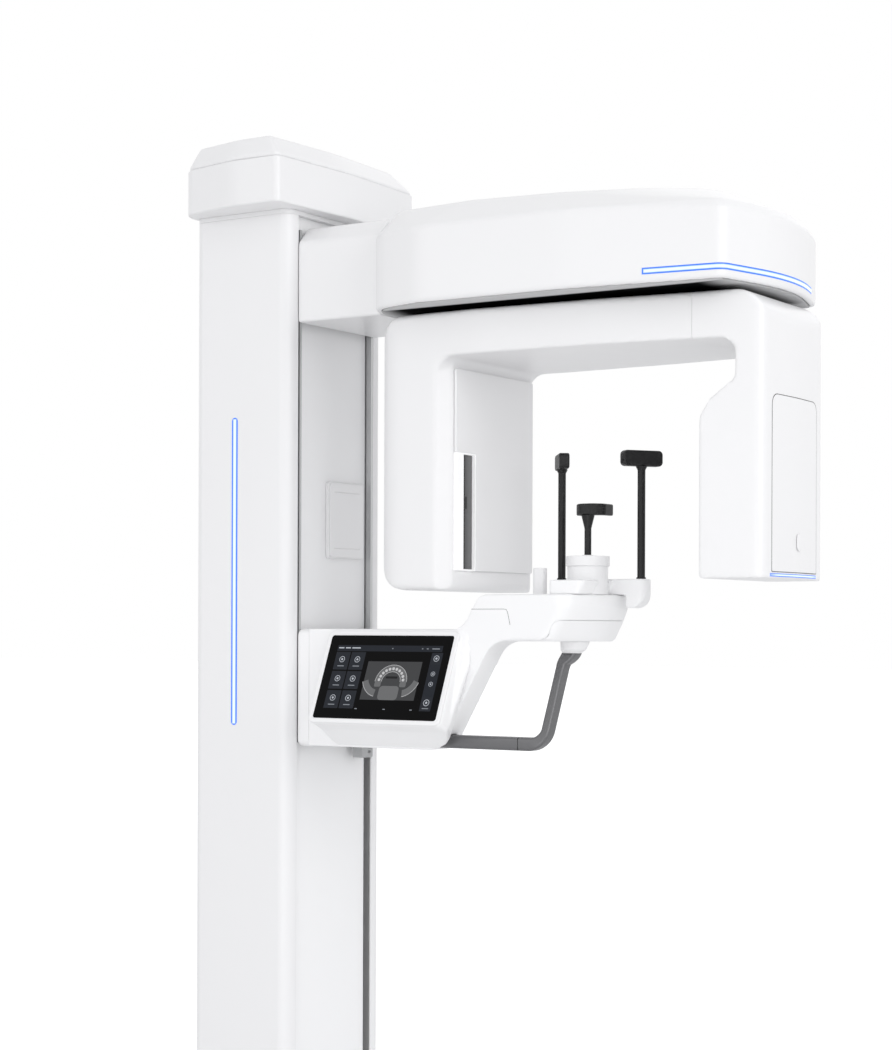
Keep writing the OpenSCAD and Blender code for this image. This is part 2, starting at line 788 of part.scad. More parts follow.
// Patient's handle
handle_x0 = 498;
handle_w = 34;
handle_h = 28;
handle_x1 = 758;
handle_y = arm_y0 + 32;
handle_z = 983;
grip_x = 19;
grip_y = 36;
boss_x = 764;
boss_y = -34;
boss_z = 1172;
bar_end = handle_x1 - 30;
module handle() {
  y = handle_y;
  z = handle_z - handle_h/2;
  color(steel) {
    hull() {
      translate([handle_x0, y - handle_w/2, z + 6]) cube([4, handle_w, handle_h - 6]);
      translate([handle_x0 + 14, y - handle_w/2, z]) cube([4, handle_w, handle_h]);
      translate([bar_end, y - grip_y/2, z]) cube([4, grip_y, handle_h]);
    }
    hull() {
      translate([bar_end, y - grip_y/2, z]) cube([4, grip_y, handle_h]);
      translate([handle_x1 - 12, y - grip_y/2 + 2, z + 5]) cube([3, grip_y, 3]);
      translate([handle_x1 - grip_x, y - grip_y/2 + 6, z + 26]) cube([grip_x, grip_y, 3]);
    }
    hull() {
      translate([handle_x1 - grip_x, y - grip_y/2 + 6, z + 25]) cube([grip_x, grip_y, 4]);
      translate([handle_x1 - grip_x, boss_y - grip_y/2, boss_z - 10]) cube([grip_x, grip_y, 4]);
    }
    hull() {
      translate([handle_x1 - grip_x, boss_y - grip_y/2 - 6, boss_z - 26]) cube([grip_x, grip_y, 4]);
      translate([boss_x, boss_y, boss_z - 1]) cylinder(r = 20, h = 1);
    }
  }
}
module handle_boss() {
  color(white) hull() {
    translate([boss_x, boss_y, boss_z]) cylinder(r = 20, h = 2);
    translate([boss_x + 4, boss_y, boss_z + 8]) cylinder(r = 27, h = 1);
    translate([boss_x + 8, boss_y, platform_z0 - 1]) cylinder(r = 31, h = 1);
  }
}

// Head supports; the patient faces the near side
turret_y = -40;
rod_y = 18;
yoke_z1 = platform_z1 + 33;
yoke_half = 115;
yoke_w = 42;
yoke_hang = 66;
hang_x0 = axis_x + 69;
hang_x1 = axis_x + yoke_half;
hang_z0 = yoke_z1 - yoke_hang;
rod_foot = 10;
turret_z1 = 1354;
plinth_x0 = axis_x - 45;
plinth_x1 = axis_x + 38;
plinth_y0 = turret_y - 88;
plinth_h = 29;
module yoke_2d() { translate([axis_x, rod_y]) plate_2d(2*yoke_half, yoke_w, yoke_w/2 - 0.1); }
// Plan of the plinth under the turret; its outer end lies in by d
module plinth_2d(d) {
  polygon(rounded([[plinth_x0, plinth_y0, 8], [plinth_x1 - d, plinth_y0, 14], [plinth_x1 - d/2, rod_y, 4],
    [plinth_x0, rod_y, 4]]));
}
module head_yoke() {
  color(white) difference() {
    union() {
      translate([0, 0, platform_z1]) linear_extrude(yoke_z1 - platform_z1) yoke_2d();
      hull() {
        translate([0, 0, platform_z1]) linear_extrude(slice_t) plinth_2d(12);
        translate([0, 0, platform_z1 + plinth_h - slice_t]) linear_extrude(slice_t) plinth_2d(0);
      }
      // end that hangs past the platform
      intersection() {
        translate([0, 0, hang_z0]) linear_extrude(yoke_hang) yoke_2d();
        side_profile(rounded([[hang_x0, hang_z0 + 6, 4], [hang_x1 - 8, hang_z0, 34], [hang_x1, yoke_z1 - 10, 0],
          [hang_x1, yoke_z1, 0], [hang_x0, yoke_z1, 0]]), -10, 50);
      }
    }
    for (s = [-1, 1]) translate([axis_x, rod_y, 0]) scale([s, 1, 1])
      translate([rod_gap - clamp_travel - 8, -6.4, yoke_z1 - 20]) cube([clamp_travel + 16, 12.8, 30]);
    translate([axis_x, turret_y, platform_z1 - over]) cylinder(r = turret_r, h = 60);
  }
}
module turret_body() {
  color(white) translate([axis_x, turret_y, platform_z1])
    ring(turret_r, stem_r + run_gap, turret_z1 - platform_z1);
}
module turret_cap() {
  color(white) translate([axis_x, turret_y, turret_z1]) {
    ring(turret_r + 3.5, stem_r + 0.6, 21);
    translate([0, 0, 20.5]) ring(stem_r + 5, stem_r + 0.6, 3);
  }
}
stem_low = platform_z1 + 24;
module chin_stem() {
  color(black) translate([axis_x, turret_y, 0]) {
    translate([0, 0, stem_low]) cylinder(r = stem_r, h = chin_z - 30 - stem_low);
    translate([0, 0, chin_z - 52]) cylinder(r1 = stem_r, r2 = 14, h = 28);
  }
}
cup_y = turret_y + 6;
cup_h = 24;
module chin_cup() {
  color(black) translate([axis_x, cup_y, chin_z - cup_h]) linear_extrude(cup_h)
    polygon(rounded([[-34, 44, 4], [-34, 4, 20], [-16, -18, 24], [16, -18, 24], [34, 4, 20], [34, 44, 4],
      [24, 44, 4], [20, 14, 14], [-20, 14, 14], [-24, 44, 4]]));
}
post_x = axis_x - 115;
post_h = 57;
module laser_post() {
  color(white) translate([post_x, turret_y, platform_z1]) linear_extrude(post_h) plate_2d(28, 22, 8);
}
module support_rod(s) {
  translate([axis_x + s * rod_gap, rod_y, 0]) {
    translate([0, 0, yoke_z1 - 18]) cylinder(r = 6, h = 18.3);
    translate([0, 0, yoke_z1 + 0.3]) cylinder(r = rod_foot, h = 3);
    translate([0, 0, yoke_z1 + 0.3]) cylinder(r = support_r, h = pad_top - pad_h - yoke_z1 - 0.3);
    translate([0, 0, pad_top - pad_h - 8]) cylinder(r1 = support_r, r2 = support_r + 4, h = 8);
  }
}
module support_rod_left() { color(black) support_rod(-1); }
module support_rod_right() { color(black) support_rod(1); }
module support_pad(s) {
  translate([axis_x + s * rod_gap, rod_y, pad_top - pad_h/2]) rotate([90, 0, 90 - s * pad_turn])
    translate([0, 0, -11]) linear_extrude(22) plate_2d(pad_l, pad_h, 9);
}
module support_pad_left() { color(black) support_pad(-1); }
module support_pad_right() { color(black) support_pad(1); }

// Cap screws of the rear cover
module cover_screws() {
  color(steel) for (y = [-1, 1], i = [0:3])
    translate([-front_x - rear_t, y * (rear_open/2 + 12), floor_z + 80 + i * 620])
      rotate([0, -90, 0]) cylinder(r = 5, h = 3);
}

base_plate();
levelling_feet();
column_shell();
rear_cover();
column_top_plate();
rail_panel();
guide_rails();
lift_cylinder();
lift_rod();
cap_band();
cap_dome();
column_light();
remote_holder();
holder_cover();
carriage_frame();
upper_bracket();
bracket_collar();
housing_shell();
housing_floor();
housing_light();
slewing_bearing();
drive_motor();
motor_pulley();
drive_belt();
gantry_hub();
hub_pulley();
detector_cover();
generator_cover();
detector_panel();
sensor_frame();
sensor_glass();
sensor_module();
slider_knob();
tube_head();
collimator();
end_panel();
panel_cap();
generator_light();
arm_mount();
arm_body();
arm_lower_cover();
screen_housing();
screen_bezel();
touch_screen();
socket_box();
handle();
handle_boss();
head_yoke();
turret_body();
turret_cap();
chin_stem();
chin_cup();
laser_post();
support_rod_left();
support_rod_right();
support_pad_left();
support_pad_right();
cover_screws();
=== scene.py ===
import json
from math import cos, pi, radians, sin

import bmesh
import bpy
from mathutils import Matrix, Vector


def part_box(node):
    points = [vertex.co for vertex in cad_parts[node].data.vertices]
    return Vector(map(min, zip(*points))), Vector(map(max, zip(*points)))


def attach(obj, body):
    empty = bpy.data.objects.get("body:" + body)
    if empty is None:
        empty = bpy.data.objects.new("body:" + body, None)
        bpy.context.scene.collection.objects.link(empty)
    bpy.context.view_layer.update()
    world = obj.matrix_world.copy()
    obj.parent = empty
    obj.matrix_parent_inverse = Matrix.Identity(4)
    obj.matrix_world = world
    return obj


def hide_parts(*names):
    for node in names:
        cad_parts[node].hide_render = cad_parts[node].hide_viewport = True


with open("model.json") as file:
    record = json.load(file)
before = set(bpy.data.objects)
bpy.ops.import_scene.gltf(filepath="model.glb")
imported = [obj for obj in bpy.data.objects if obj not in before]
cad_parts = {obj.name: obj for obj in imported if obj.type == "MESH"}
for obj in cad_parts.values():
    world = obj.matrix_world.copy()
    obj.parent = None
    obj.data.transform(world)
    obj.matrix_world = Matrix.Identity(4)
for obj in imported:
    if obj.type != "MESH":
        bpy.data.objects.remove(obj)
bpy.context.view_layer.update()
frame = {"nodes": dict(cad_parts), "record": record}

scene = bpy.context.scene
scene.view_settings.view_transform = "Standard"
mm = 0.001  # sizes are written in millimetres unless a note says otherwise
print("frame loaded")

# Camera, placed as the photograph was taken: place in metres, turn in degrees, roll in radians
view = {
    "place": (2.9684, -3.9863, 1.22), "turn": 32.5, "roll": -0.0035,
    "lens": 73.71, "sensorWidth": 36, "shiftY": 0.1, "reach": 200,
}


def makeCamera():
    data = bpy.data.cameras.new("camera")
    data.lens = view["lens"]
    data.sensor_width = view["sensorWidth"]
    data.shift_y = view["shiftY"]
    data.clip_end = view["reach"]
    camera = bpy.data.objects.new("camera", data)
    camera.location = view["place"]
    camera.rotation_euler = (pi / 2, view["roll"], radians(view["turn"]))
    scene.collection.objects.link(camera)
    scene.camera = camera


makeCamera()
print("camera placed")


# A socket's value, so that shader maths reads as an expression
class Wire:
    def __init__(self, nodes, socket):
        self.nodes = nodes
        self.socket = socket

    def maths(self, operation, a, b=None):
        inputs = {0: a} if b is None else {0: a, 1: b}
        return self.nodes.node("ShaderNodeMath", {"operation": operation}, inputs)

    def __add__(self, other):
        return self.maths("ADD", self, other)

    def __radd__(self, other):
        return self.maths("ADD", other, self)

    def __sub__(self, other):
        return self.maths("SUBTRACT", self, other)

    def __rsub__(self, other):
        return self.maths("SUBTRACT", other, self)

    def __mul__(self, other):
        return self.maths("MULTIPLY", self, other)

    def __rmul__(self, other):
        return self.maths("MULTIPLY", other, self)

    def __truediv__(self, other):
        return self.maths("DIVIDE", self, other)

    def __rtruediv__(self, other):
        return self.maths("DIVIDE", other, self)

    def absolute(self):
        return self.maths("ABSOLUTE", self)

    def atLeast(self, other):
        return self.maths("MAXIMUM", self, other)

    def atMost(self, other):
        return self.maths("MINIMUM", self, other)

    # 0 up to low, 1 from high on, and smooth between them
    def between(self, low, high):
        inputs = {"Value": self, "From Min": low, "From Max": high}
        return self.nodes.node("ShaderNodeMapRange", {"interpolation_type": "SMOOTHSTEP"}, inputs)


# Adds nodes to the tree of a material or of the world
class Nodes:
    def __init__(self, tree):
        self.tree = tree

    def node(self, kind, settings, inputs, output=0):
        made = self.tree.nodes.new(kind)
        for key, value in settings.items():
            setattr(made, key, value)
        for key, value in inputs.items():
            self.feed(made.inputs[key], value)
        return Wire(self, made.outputs[output])

    def feed(self, socket, value):
        if isinstance(value, Wire):
            self.tree.links.new(value.socket, socket)
        else:
            socket.default_value = value

    def split(self, place):
        node = self.node("ShaderNodeSeparateXYZ", {}, {0: place}).socket.node
        return [Wire(self, output) for output in node.outputs]

    def blend(self, amount, first, second):
        return self.node("ShaderNodeMix", {"data_type": "RGBA"}, {0: amount, 6: first, 7: second}, 2)

    # 1 on the rays that should see the white surround
    def surroundRays(self):
        camera = self.node("ShaderNodeLightPath", {}, {}, "Is Camera Ray")
        path = camera.socket.node.outputs
        glossy = Wire(self, path["Is Glossy Ray"])
        transmission = Wire(self, path["Is Transmission Ray"])
        return camera.atLeast(glossy).atLeast(transmission)


# A material on the piece's own coordinates; the fixed values are the names of its surface's sockets
class Shader(Nodes):
    def __init__(self, name, **fixed):
        self.material = bpy.data.materials.new(name)
        self.material.use_nodes = True
        super().__init__(self.material.node_tree)
        self.surface = self.tree.nodes["Principled BSDF"]
        for socket, value in fixed.items():
            self.surface.inputs[socket.replace("_", " ")].default_value = value
        self.place = self.node("ShaderNodeTexCoord", {}, {}, "Object")

    def set(self, socket, value):
        self.feed(self.surface.inputs[socket], value)

    def noise(self, scale, detail=3.0, roughness=0.5, stretch=None):
        place = self.place
        if stretch:
            place = self.node("ShaderNodeMapping", {}, {"Vector": place, "Scale": stretch})
        inputs = {"Vector": place, "Scale": scale, "Detail": detail, "Roughness": roughness}
        return self.node("ShaderNodeTexNoise", {}, inputs)

    def bump(self, height, strength, distance):
        inputs = {"Height": height, "Strength": strength, "Distance": distance * mm}
        self.set("Normal", self.node("ShaderNodeBump", {}, inputs))


def rgb(r, g, b):
    return (r, g, b, 1.0)


# Sprayed lacquer with faint orange peel under a thin gloss coat
def lacquer(name, light, dark, roughness):
    paint = Shader(name, Coat_Roughness=0.12, Coat_IOR=1.45, Specular_IOR_Level=0.42)
    cloud = paint.noise(2.2, 2.0)
    peel = paint.noise(420, 2.0)
    smudge = paint.noise(7, 3.0, 0.55)
    paint.set("Base Color", paint.blend(cloud, light, dark))
    paint.set("Roughness", smudge * 0.06 + roughness)
    paint.set("Coat Weight", smudge * 0.06 + 0.12)
    paint.bump(peel, 0.04, 0.2)
    return paint.material


def blackMoulding():
    paint = Shader("blackMoulding", Specular_IOR_Level=0.35)
    grain = paint.noise(1800, 3.0)
    wear = paint.noise(38, 4.0, 0.65)
    paint.set("Base Color", paint.blend(wear, rgb(0.004, 0.004, 0.0045), rgb(0.01, 0.01, 0.0105)))
    paint.set("Roughness", wear * 0.14 + 0.34)
    paint.bump(grain, 0.2, 0.3)
    return paint.material


def rubberMoulding():
    paint = Shader("rubberMoulding")
    grain = paint.noise(900, 4.0)
    paint.set("Base Color", paint.blend(grain, rgb(0.03, 0.03, 0.031), rgb(0.055, 0.055, 0.056)))
    paint.set("Roughness", grain * 0.2 + 0.6)
    paint.bump(grain, 0.3, 0.4)
    return paint.material


# Metal with grinding lines, drawn out along the axis whose stretch is small
def groundMetal(name, light, dark, stretch):
    paint = Shader(name, Metallic=1.0)
    lines = paint.noise(60, 5.0, 0.6, stretch)
    cloud = paint.noise(6, 3.0)
    paint.set("Base Color", paint.blend(lines, light, dark))
    paint.set("Roughness", lines * 0.2 + cloud * 0.08 + 0.24)
    paint.bump(lines, 0.15, 0.2)
    return paint.material


def screenGlass():
    paint = Shader("screenGlass", IOR=1.5, Specular_IOR_Level=0.07)
    film = paint.noise(14, 4.0, 0.6)
    paint.set("Base Color", paint.blend(film, rgb(0.0012, 0.0012, 0.0014), rgb(0.002, 0.002, 0.0023)))
    paint.set("Roughness", film * 0.05 + 0.04)
    return paint.material


# Smoked glass that pales towards its far side, with the dark slit behind it as an upright line
def windowGlass():
    paint = Shader("windowGlass", IOR=1.5, Specular_IOR_Level=0.2)
    low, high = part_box("sensor_glass")
    across = (paint.split(paint.place)[1] - low.y) / (high.y - low.y)
    slit = (across - 0.3).absolute().between(0.03, 0.09)
    film = paint.noise(14, 4.0, 0.6)
    shade = paint.blend(across.between(0.1, 0.95), rgb(0.05, 0.05, 0.052), rgb(0.17, 0.17, 0.173))
    paint.set("Base Color", paint.blend(slit, rgb(0.006, 0.006, 0.007), shade))
    paint.set("Roughness", film * 0.05 + 0.06)
    return paint.material


def handleLacquer():
    paint = Shader("handleLacquer", Metallic=0.6, Specular_IOR_Level=0.4)
    fleck = paint.noise(2200, 2.0)
    cloud = paint.noise(16, 3.0)
    paint.set("Base Color", paint.blend(fleck, rgb(0.12, 0.12, 0.125), rgb(0.19, 0.19, 0.195)))
    paint.set("Roughness", cloud * 0.1 + 0.32)
    paint.bump(fleck, 0.06, 0.2)
    return paint.material


# A light strip's diffuser: pale along its middle, blue at its two edges and at its low end or both ends
def glow(name, part, across, along, bothEnds=False):
    low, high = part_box(part)
    paint = Shader(name, Roughness=0.3, Emission_Strength=1.0)
    axes = paint.split(paint.place)
    middle = (low[across] + high[across]) / 2
    half = (high[across] - low[across]) / 2
    edge = ((axes[across] - middle) / half).absolute().between(0.25, 0.72)
    fromEnd = axes[along] - low[along]
    if bothEnds:
        fromEnd = fromEnd.atMost(high[along] - axes[along])
    edge = edge.atLeast(1 - fromEnd.between(2 * mm, 5 * mm))
    ripple = paint.noise(120, 2.0)
    paint.set("Base Color", paint.blend(ripple, rgb(0.03, 0.12, 0.40), rgb(0.05, 0.16, 0.48)))
    paint.set("Emission Color", paint.blend(edge, rgb(0.86, 0.95, 1.0), rgb(0.005, 0.08, 0.62)))
    return paint.material


# One colour of the lit screen
def litField(name, colour):
    paint = Shader(name, Roughness=0.25, Specular_IOR_Level=0.1, Emission_Strength=1.0)
    pixel = paint.noise(3000, 1.0)
    dim = rgb(*(0.85 * c for c in colour[:3]))
    paint.set("Base Color", paint.blend(pixel, rgb(0.006, 0.006, 0.007), rgb(0.01, 0.01, 0.011)))
    paint.set("Emission Color", paint.blend(pixel, dim, colour))
    return paint.material


# Painted shade for the housing's underside: it is painted black inside these planes, in x at its two ends and
# in y on its two sides, standing in for the shade under the housing.
# Each rim gives how far inside its plane the pale painted edge ends and the full painted shade begins.
underside = {
    "left": 360, "leftRim": (10, 80), "right": 1235, "rightRim": (20, 110), "side": 215, "sideRim": (2, 16),
}


# Painted shade: the housing's underside is pale at its rim and turns black further in, where shade falls
def undersideShadePaint():
    paint = Shader("undersideShadePaint", Specular_IOR_Level=0.02)
    grain = paint.noise(700, 3.0)
    x, y, z = paint.split(paint.place)
    rim = {key: [size * mm for size in underside[key]] for key in ("leftRim", "rightRim", "sideRim")}
    shadeAmount = (x - underside["left"] * mm).between(*rim["leftRim"])
    shadeAmount = shadeAmount.atMost((underside["right"] * mm - x).between(*rim["rightRim"]))
    shadeAmount = shadeAmount.atMost((underside["side"] * mm - y.absolute()).between(*rim["sideRim"]))
    black = paint.blend(grain, rgb(0.001, 0.001, 0.0012), rgb(0.003, 0.003, 0.0033))
    paint.set("Base Color", paint.blend(shadeAmount, rgb(0.6, 0.6, 0.605), black))
    paint.set("Roughness", grain * 0.1 + 0.85)
    return paint.material


# Painted light: the sensor frame's white plastic glows a little, though it is no lamp
def glowPaintedPlastic():
    paint = Shader("glowPaintedPlastic", Emission_Strength=0.22)
    cloud = paint.noise(30, 2.0)
    paint.set("Base Color", paint.blend(cloud, rgb(0.87, 0.87, 0.875), rgb(0.85, 0.85, 0.855)))
    paint.set("Emission Color", paint.blend(cloud, rgb(1, 1, 1), rgb(0.94, 0.94, 0.95)))
    paint.set("Roughness", cloud * 0.1 + 0.25)
    return paint.material


finish = {
    "white": lacquer("whiteLacquer", rgb(0.872, 0.87, 0.876), rgb(0.86, 0.858, 0.865), 0.3),
    # Painted light: a lighter copy of the white lacquer, which lifts the rail panel and the console's covers
    # where they sit in shade
    "shadeLiftedWhite": lacquer("shadeLiftedLacquer", rgb(0.93, 0.93, 0.935), rgb(0.915, 0.915, 0.922), 0.34),
    "greyPlastic": lacquer("greyPlastic", rgb(0.44, 0.445, 0.45), rgb(0.40, 0.405, 0.41), 0.42),
    "paintedUndersideShade": undersideShadePaint(),
    "black": blackMoulding(),
    "rubber": rubberMoulding(),
    "steel": groundMetal("groundSteel", rgb(0.62, 0.625, 0.63), rgb(0.5, 0.505, 0.51), (1, 1, 0.05)),
    "darkMetal": groundMetal("darkMetal", rgb(0.13, 0.135, 0.14), rgb(0.09, 0.094, 0.1), (1, 1, 1)),
    "glass": screenGlass(),
    "windowGlass": windowGlass(),
    "handlePaint": handleLacquer(),
    "seam": lacquer("seamShadow", rgb(0.09, 0.09, 0.092), rgb(0.12, 0.12, 0.122), 0.6),
    "glowPaintedWhite": glowPaintedPlastic(),
}
print("finishes made")

# Which finish each carried-over part takes; the rest are white
finishParts = {
    "steel": "guide_rails lift_rod carriage_frame slewing_bearing motor_pulley gantry_hub hub_pulley "
             "cover_screws tube_head",
    "darkMetal": "lift_cylinder drive_motor sensor_module collimator",
    "rubber": "drive_belt levelling_feet",
    "black": "slider_knob chin_stem chin_cup support_rod_left support_rod_right "
             "support_pad_left support_pad_right",
    "paintedUndersideShade": "housing_floor",
    "greyPlastic": "socket_box",
    "handlePaint": "handle",
    "glass": "touch_screen",
    "windowGlass": "sensor_glass",
    "shadeLiftedWhite": "rail_panel arm_mount arm_body arm_lower_cover screen_housing head_yoke",
    "glowPaintedWhite": "sensor_frame",
}
finishOf = {part: name for name, parts in finishParts.items() for part in parts.split()}
bodyOf = {part: body for body, parts in frame["record"]["behaviour"]["bodies"].items() for part in parts}


def partFinish(part):
    return finish[finishOf.get(part, "white")]


def dress(part, material):
    materials = frame["nodes"][part].data.materials
    materials.clear()
    materials.append(material)


# Makes the object of a new piece, which rides on a body and may stand for a carried-over part
def finished(bm, name, materials, body, part=None, sharp=32):
    mesh = bpy.data.meshes.new(name)
    bm.to_mesh(mesh)
    bm.free()
    mesh.shade_smooth()
    mesh.set_sharp_from_angle(angle=radians(sharp))
    for material in materials:
        mesh.materials.append(material)
    thing = bpy.data.objects.new(name, mesh)
    scene.collection.objects.link(thing)
    weighted = thing.modifiers.new("evenShading", "WEIGHTED_NORMAL")
    weighted.keep_sharp = True
    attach(thing, body)
    if part:
        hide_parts(part)


# Cuts off what lies beyond a plane and closes the hole
def cutAway(bm, place, outwards):
    everything = bm.verts[:] + bm.edges[:] + bm.faces[:]
    cut = bmesh.ops.bisect_plane(bm, geom=everything, dist=0.001 * mm, plane_co=place, plane_no=outwards,
                                 clear_outer=True)["geom_cut"]
    bmesh.ops.holes_fill(bm, edges=[g for g in cut if isinstance(g, bmesh.types.BMEdge)], sides=0)


def ringEdges(bm, ring):
    return [bm.edges.new(pair) for pair in zip(ring, ring[1:] + ring[:1])]


# Larger corner radii in side view: part, corner x and z, the signs of its outer directions, radius
broadCorners = [
    ("detector_cover", 360, 1889, -1, 1, 88),
    ("detector_cover", 360, 1303, -1, -1, 88),
    ("generator_cover", 1257, 1889, 1, 1, 72),
]
cornerSteps = 11


# Cuts a corner back to a curve, one tangent plane after another
def broaden(bm, x, z, signX, signZ, radius):
    centre = Vector(((x - signX * radius) * mm, 0, (z - signZ * radius) * mm))
    for step in range(cornerSteps):
        angle = radians(90 * (step + 0.5) / cornerSteps)
        outwards = Vector((signX * cos(angle), 0, signZ * sin(angle)))
        cutAway(bm, centre + outwards * radius * mm, outwards)


# Fillet in the upper corner of the gantry's opening, from its near or far face to the inner panel;
# it is sunk into the gantry on its two straight sides
fillet = {
    "z": 1793, "outerX": 523, "outerY": 196.5, "outerRadius": 46,
    "innerX": 549, "innerY": 162, "innerRadius": 16, "sunk": 3, "steps": 10,
}


def addFillet(bm, side):
    top, sunk, steps = fillet["z"], fillet["sunk"], fillet["steps"]
    rims = []
    for end in ("outer", "inner"):
        x, y, radius = fillet[end + "X"], fillet[end + "Y"], fillet[end + "Radius"]
        turns = [radians(90 * step / steps) for step in range(steps + 1)]
        outline = [(x - sunk, top + sunk), (x + radius, top + sunk)]
        outline += [(x + radius - radius * sin(turn), top - radius + radius * cos(turn)) for turn in turns]
        outline.append((x - sunk, top - radius))
        rims.append(ringEdges(bm, [bm.verts.new((px * mm, side * y * mm, pz * mm)) for px, pz in outline]))
    made = bmesh.ops.bridge_loops(bm, edges=rims[0] + rims[1])["faces"]
    made += bmesh.ops.holes_fill(bm, edges=rims[0] + rims[1], sides=0)["faces"]
    bmesh.ops.recalc_face_normals(bm, faces=made)


# Softly moulded covers. Each may be made from several parts, so that they share one surface.
# sink is its depth below the parts that are let into it; the gantry's two covers meet in a seam near cutX.
gantryForm = {
    "parts": ("detector_cover", "generator_cover", "end_panel", "generator_light"),
    "voxel": 4.5, "passes": 6, "sink": 0.8,
}
softCovers = {
    "detector_cover": {**gantryForm, "cutX": 1103.7, "side": 1},
    "generator_cover": {**gantryForm, "cutX": 1104.3, "side": -1},
    "housing_shell": {"parts": ("housing_shell", "housing_light"), "voxel": 5, "passes": 5, "sink": 0.35},
    "arm_body": {"voxel": 3.4, "passes": 3},
    "screen_housing": {"voxel": 3, "passes": 5},
    "head_yoke": {"voxel": 2.2, "passes": 5},
    "cap_dome": {"voxel": 4, "passes": 8},
    "handle_boss": {"voxel": 1.6, "passes": 3},
}
evenSkins = {}


def joined(parts):
    bm = bmesh.new()
    for part in parts:
        bm.from_mesh(frame["nodes"][part].data)
    bmesh.ops.remove_doubles(bm, verts=bm.verts, dist=0.01 * mm)
    if "detector_cover" in parts:
        for side in (-1, 1):
            addFillet(bm, side)
    for name, *corner in broadCorners:
        if name in parts:
            broaden(bm, *corner)
    return bm


# The surface of the joined parts after an even remesh and some smoothing, made once for each set of parts
def evenSkin(parts, voxel, passes, sink):
    if parts not in evenSkins:
        bm = joined(parts)
        mesh = bpy.data.meshes.new("remeshSource")
        bm.to_mesh(mesh)
        bm.free()
        source = bpy.data.objects.new("remeshSource", mesh)
        scene.collection.objects.link(source)
        even = source.modifiers.new("even", "REMESH")
        even.mode = "VOXEL"
        even.voxel_size = voxel * mm
        smooth = source.modifiers.new("smooth", "SMOOTH")
        smooth.factor = 0.5
        smooth.iterations = passes
        skin = bmesh.new()
        skin.from_object(source, bpy.context.evaluated_depsgraph_get())
        bpy.data.objects.remove(source)
        bpy.data.meshes.remove(mesh)
        skin.normal_update()
        for v in skin.verts:
            v.co -= v.normal * sink * mm
        evenSkins[parts] = skin
    return evenSkins[parts].copy()


def softCover(part, look):
    bm = evenSkin(look.get("parts", (part,)), look["voxel"], look["passes"], look.get("sink", 0))
    if "cutX" in look:
        cutAway(bm, Vector((look["cutX"] * mm, 0, 0)), Vector((look["side"], 0, 0)))
    finished(bm, part + "_moulding", [partFinish(part)], bodyOf[part], part, sharp=50)


# The radius to which the hard edges of each plain cover are rounded
edgeRadius = {
    "base_plate": 3, "column_shell": 1.5, "column_top_plate": 1, "rear_cover": 0.6, "cap_band": 5,
    "remote_holder": 2, "holder_cover": 0.7, "upper_bracket": 3, "bracket_collar": 2,
    "detector_panel": 1.5, "sensor_frame": 0.8, "end_panel": 1.2, "panel_cap": 0.6,
    "arm_mount": 6, "arm_lower_cover": 0.5, "screen_bezel": 3,
    "turret_body": 0.8, "turret_cap": 2, "laser_post": 2,
    "support_pad_left": 3, "support_pad_right": 3, "chin_cup": 3, "socket_box": 1,
}
# Planes on which two covers meet in a narrow seam: axis and place
seamPlanes = {"arm_mount": (0, 166)}
# Parts let into a cover, whose edges stay crisp there
letInto = {"column_shell": ["column_light"]}
# Merging distance, the angles in degrees of a flat and of a hard edge, how near a let-in part or a seam plane
# an edge belongs to it, and the bevel along a seam
edgeWork = {
    "merge": 0.1, "flat": 1.5, "hard": 28, "segments": 3,
    "nearPart": 2, "nearSeam": 0.05, "seamBevel": 0.7,
}


def hardEdges(bm):
    return [e for e in bm.edges if e.is_manifold and e.calc_face_angle(0) > radians(edgeWork["hard"])]


def roundEdges(bm, edges, radius, segments):
    bmesh.ops.bevel(bm, geom=edges, offset=radius * mm, offset_type="OFFSET", segments=segments,
                    profile=0.5, affect="EDGES", clamp_overlap=True, material=-1)


# A moulded piece over a carried-over part: the same form, with its hard edges rounded
def moulded(part, radius):
    bm = bmesh.new()
    bm.from_mesh(frame["nodes"][part].data)
    bmesh.ops.remove_doubles(bm, verts=bm.verts, dist=edgeWork["merge"] * mm)
    bmesh.ops.dissolve_limit(bm, angle_limit=radians(edgeWork["flat"]), verts=bm.verts, edges=bm.edges)
    boxes = [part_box(other) for other in letInto.get(part, [])]
    near = edgeWork["nearPart"] * mm

    def inBox(v):
        return any(all(low[i] - near < v.co[i] < high[i] + near for i in range(3)) for low, high in boxes)

    def onSeam(e):
        if part not in seamPlanes:
            return False
        axis, place = seamPlanes[part]
        return all(abs(v.co[axis] - place * mm) < edgeWork["nearSeam"] * mm for v in e.verts)

    edges = [e for e in hardEdges(bm) if not onSeam(e) and not all(inBox(v) for v in e.verts)]
    roundEdges(bm, edges, radius, edgeWork["segments"])
    if part in seamPlanes:
        roundEdges(bm, [e for e in hardEdges(bm) if onSeam(e)], edgeWork["seamBevel"], 1)
    finished(bm, part + "_moulding", [partFinish(part)], bodyOf[part], part)


for part in frame["nodes"]:
    dress(part, partFinish(part))
for part, radius in edgeRadius.items():
    moulded(part, radius)
for part, look in softCovers.items():
    softCover(part, look)
print("mouldings made")


# Patient's handle: one rounded section led along the bar, round the bend and up to its boss.
# lean is its step back for each step up, straight the stations below the neck, neck the part under the boss
# with a bend of its own, and chamfer the bevel of its ends and of its seam.
grip = {
    "startX": 498, "seamX": 692, "seamWidth": 1, "barZ": 983, "barY": -118, "barThick": 28,
    "bend": 31, "bendSteps": 12, "lean": 0.464,
    "upX": 748.5, "upThick": 20, "straight": (60, 8),
    "neckZ": 1146, "neckTurn": 28, "neckSteps": 8, "neckFlare": 16,
    "endX": 762, "endZ": 1172.5, "deep": 35, "corner": 7, "cornerSteps": 4, "chamfer": 0.9,
}


